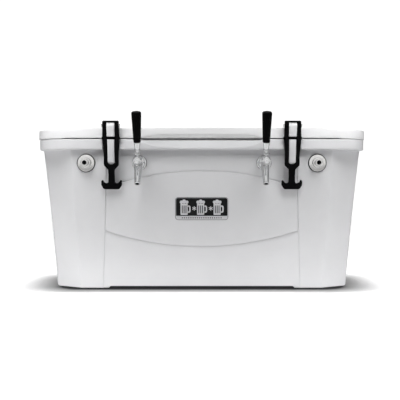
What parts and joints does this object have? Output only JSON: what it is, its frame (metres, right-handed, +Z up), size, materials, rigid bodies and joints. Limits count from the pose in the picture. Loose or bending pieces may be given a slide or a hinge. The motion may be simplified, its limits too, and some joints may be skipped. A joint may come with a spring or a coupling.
{
  "type": "jockey box beer cooler",
  "caption": "Insulated cooler with hinged lid, rubber latches and front draught taps that chill beer through a cold plate inside.",
  "frame": {"origin": "on the floor under the middle of the whole object, from the tap handles to the hinges", "axes": "+Z up, -Y towards the side with the taps, +X to the right of someone facing the taps"},
  "size_m": [0.914, 0.5612, 0.4834],
  "materials": {
    "tub_shell": "rotomoulded polyethylene, fine orange-peel texture",
    "lid_shell": "rotomoulded polyethylene, fine orange-peel texture",
    "latch_rubber": "soft matt black rubber",
    "seal_rubber": "matt black rubber",
    "stainless": "brushed stainless steel",
    "chrome": "polished chrome plate",
    "handle_black": "glossy black moulded plastic",
    "plate_aluminium": "cast aluminium with milled top",
    "brass_fitting": "turned brass",
    "beer_hose": "clear food-grade vinyl hose",
    "badge_print": null,
    "drain_plastic": "moulded black plastic"
  },
  "bodies": {
    "cooler": {"tub": "tub_shell", "badge": "badge_print", "foot_pads": "seal_rubber", "cold_plate": "plate_aluminium", "drain_fitting": "drain_plastic", "drain_nut": "drain_plastic", "hose_clamps": "stainless", "hinge_rod_left": "stainless", "shank_gasket_left": "seal_rubber", "shank_left": "chrome", "shank_nut_left": "brass_fitting", "shank_tail_left": "stainless", "coupling_nut_left": "chrome", "faucet_body_left": "chrome", "bonnet_left": "chrome", "inlet_gasket_left": "seal_rubber", "inlet_fitting_left": "stainless", "inlet_nut_left": "brass_fitting", "inlet_tail_left": "stainless", "plate_inlet_left": "brass_fitting", "plate_outlet_left": "brass_fitting", "inlet_line_left": "beer_hose", "tap_line_left": "beer_hose", "hinge_rod_right": "stainless", "shank_gasket_right": "seal_rubber", "shank_right": "chrome", "shank_nut_right": "brass_fitting", "shank_tail_right": "stainless", "coupling_nut_right": "chrome", "faucet_body_right": "chrome", "bonnet_right": "chrome", "inlet_gasket_right": "seal_rubber", "inlet_fitting_right": "stainless", "inlet_nut_right": "brass_fitting", "inlet_tail_right": "stainless", "plate_inlet_right": "brass_fitting", "plate_outlet_right": "brass_fitting", "inlet_line_right": "beer_hose", "tap_line_right": "beer_hose"},
    "lid": {"lid": "lid_shell", "lid_gasket": "seal_rubber", "latch_pin_left": "stainless", "latch_pin_right": "stainless"},
    "strap_left": {"latch_strap_left": "latch_rubber"},
    "lever_left": {"faucet_lever_left": "chrome", "tap_ferrule_left": "chrome", "tap_handle_left": "handle_black"},
    "valve_left": {"faucet_shaft_left": "stainless", "valve_washer_left": "seal_rubber"},
    "strap_right": {"latch_strap_right": "latch_rubber"},
    "lever_right": {"faucet_lever_right": "chrome", "tap_ferrule_right": "chrome", "tap_handle_right": "handle_black"},
    "valve_right": {"faucet_shaft_right": "stainless", "valve_washer_right": "seal_rubber"},
    "cap_washer": {"drain_cap_washer": "seal_rubber"},
    "cap": {"drain_cap": "drain_plastic"}
  },
  "joints": [
    {"name": "lid_hinge", "type": "hinge", "parent": "cooler", "child": "lid", "pos_m": [0, 0.27157, 0.416], "axis": [-1, 0, 0], "range_deg": [0, 105]},
    {"name": "latch_left", "type": "hinge", "parent": "lid", "child": "strap_left", "pos_m": [-0.2485, -0.20643, 0.4495], "axis": [-1, 0, 0], "range_deg": [0, 95], "deforming": ["latch_strap_left"]},
    {"name": "tap_lever_left", "type": "hinge", "parent": "cooler", "child": "lever_left", "pos_m": [-0.173, -0.22618, 0.3615], "axis": [1, 0, 0], "range_deg": [0, 25]},
    {"name": "tap_valve_left", "type": "slide", "parent": "cooler", "child": "valve_left", "axis": [0, 1, 0], "range_m": [0, 0.0075]},
    {"name": "latch_right", "type": "hinge", "parent": "lid", "child": "strap_right", "pos_m": [0.2485, -0.20643, 0.4495], "axis": [-1, 0, 0], "range_deg": [0, 95], "deforming": ["latch_strap_right"]},
    {"name": "tap_lever_right", "type": "hinge", "parent": "cooler", "child": "lever_right", "pos_m": [0.173, -0.22618, 0.3615], "axis": [1, 0, 0], "range_deg": [0, 25]},
    {"name": "tap_valve_right", "type": "slide", "parent": "cooler", "child": "valve_right", "axis": [0, 1, 0], "range_m": [0, 0.0075]},
    {"name": "drain_cap_travel", "type": "slide", "parent": "cooler", "child": "cap_washer", "axis": [1, 0, 0], "range_m": [0, 0.012]},
    {"name": "drain_cap_turn", "type": "hinge", "parent": "cap_washer", "child": "cap", "pos_m": [0.41346, 0.03357, 0.09], "axis": [1, 0, 0], "range_deg": [0, 722]}
  ],
  "couplings": [
    {"joint": "tap_valve_left", "follows": "tap_lever_left", "m_per_rad": 0.0168},
    {"joint": "tap_valve_right", "follows": "tap_lever_right", "m_per_rad": 0.0168},
    {"joint": "drain_cap_turn", "follows": "drain_cap_travel", "rad_per_m": 1047.2}
  ]
}
